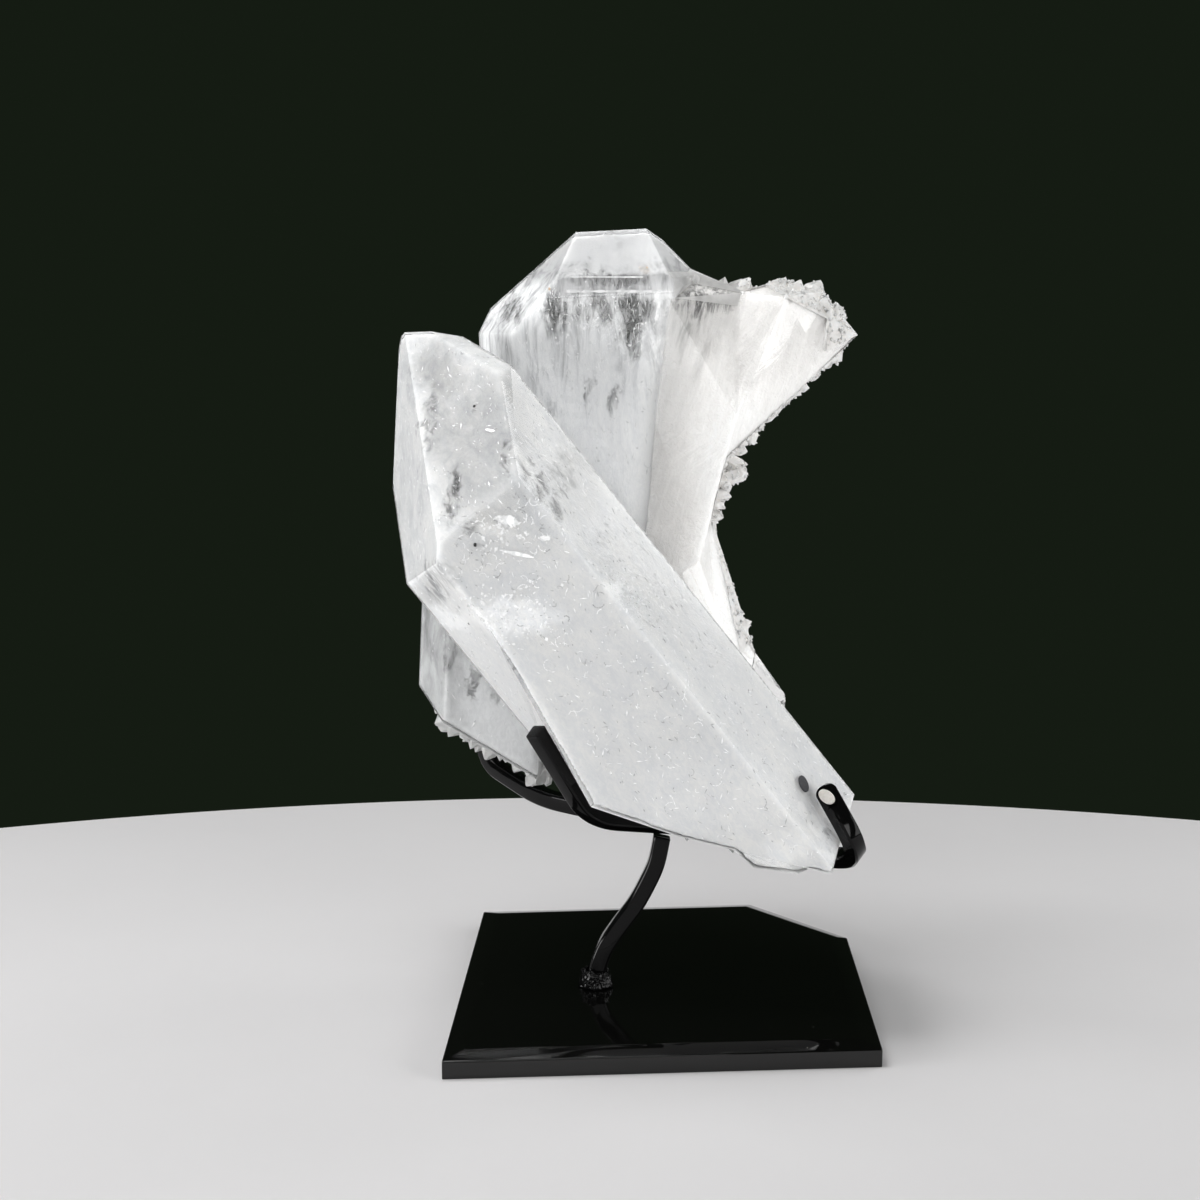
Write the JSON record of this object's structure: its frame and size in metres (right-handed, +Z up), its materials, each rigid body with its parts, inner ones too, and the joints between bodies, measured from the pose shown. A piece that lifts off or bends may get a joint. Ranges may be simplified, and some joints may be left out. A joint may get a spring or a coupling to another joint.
{
  "type": "quartz cluster on stand",
  "caption": "Cluster of clear to milky quartz points grown together, cradled by bent square bars on a curved stem over a bevelled black base plate",
  "frame": {"origin": "on the underside of the base plate, near its middle", "axes": "+Z up, -Y towards the viewer in front, +X to the viewer's right"},
  "size_m": [0.1801, 0.171, 0.2913],
  "materials": {
    "quartz": "clear to milky natural crystal faces",
    "plate_enamel": "mirror gloss black enamel",
    "bar_enamel": "gloss black enamel",
    "pale_rubber": "smooth pale rubber",
    "grey_felt": "dark grey felt"
  },
  "bodies": {
    "root": {"quartz_cluster": "quartz", "base_plate": "plate_enamel", "stem": "bar_enamel", "foot_weld": "bar_enamel", "front_arm": "bar_enamel", "rear_arm": "bar_enamel", "right_arm": "bar_enamel", "end_pad": "pale_rubber", "grey_dot": "grey_felt"}
  },
  "joints": []
}
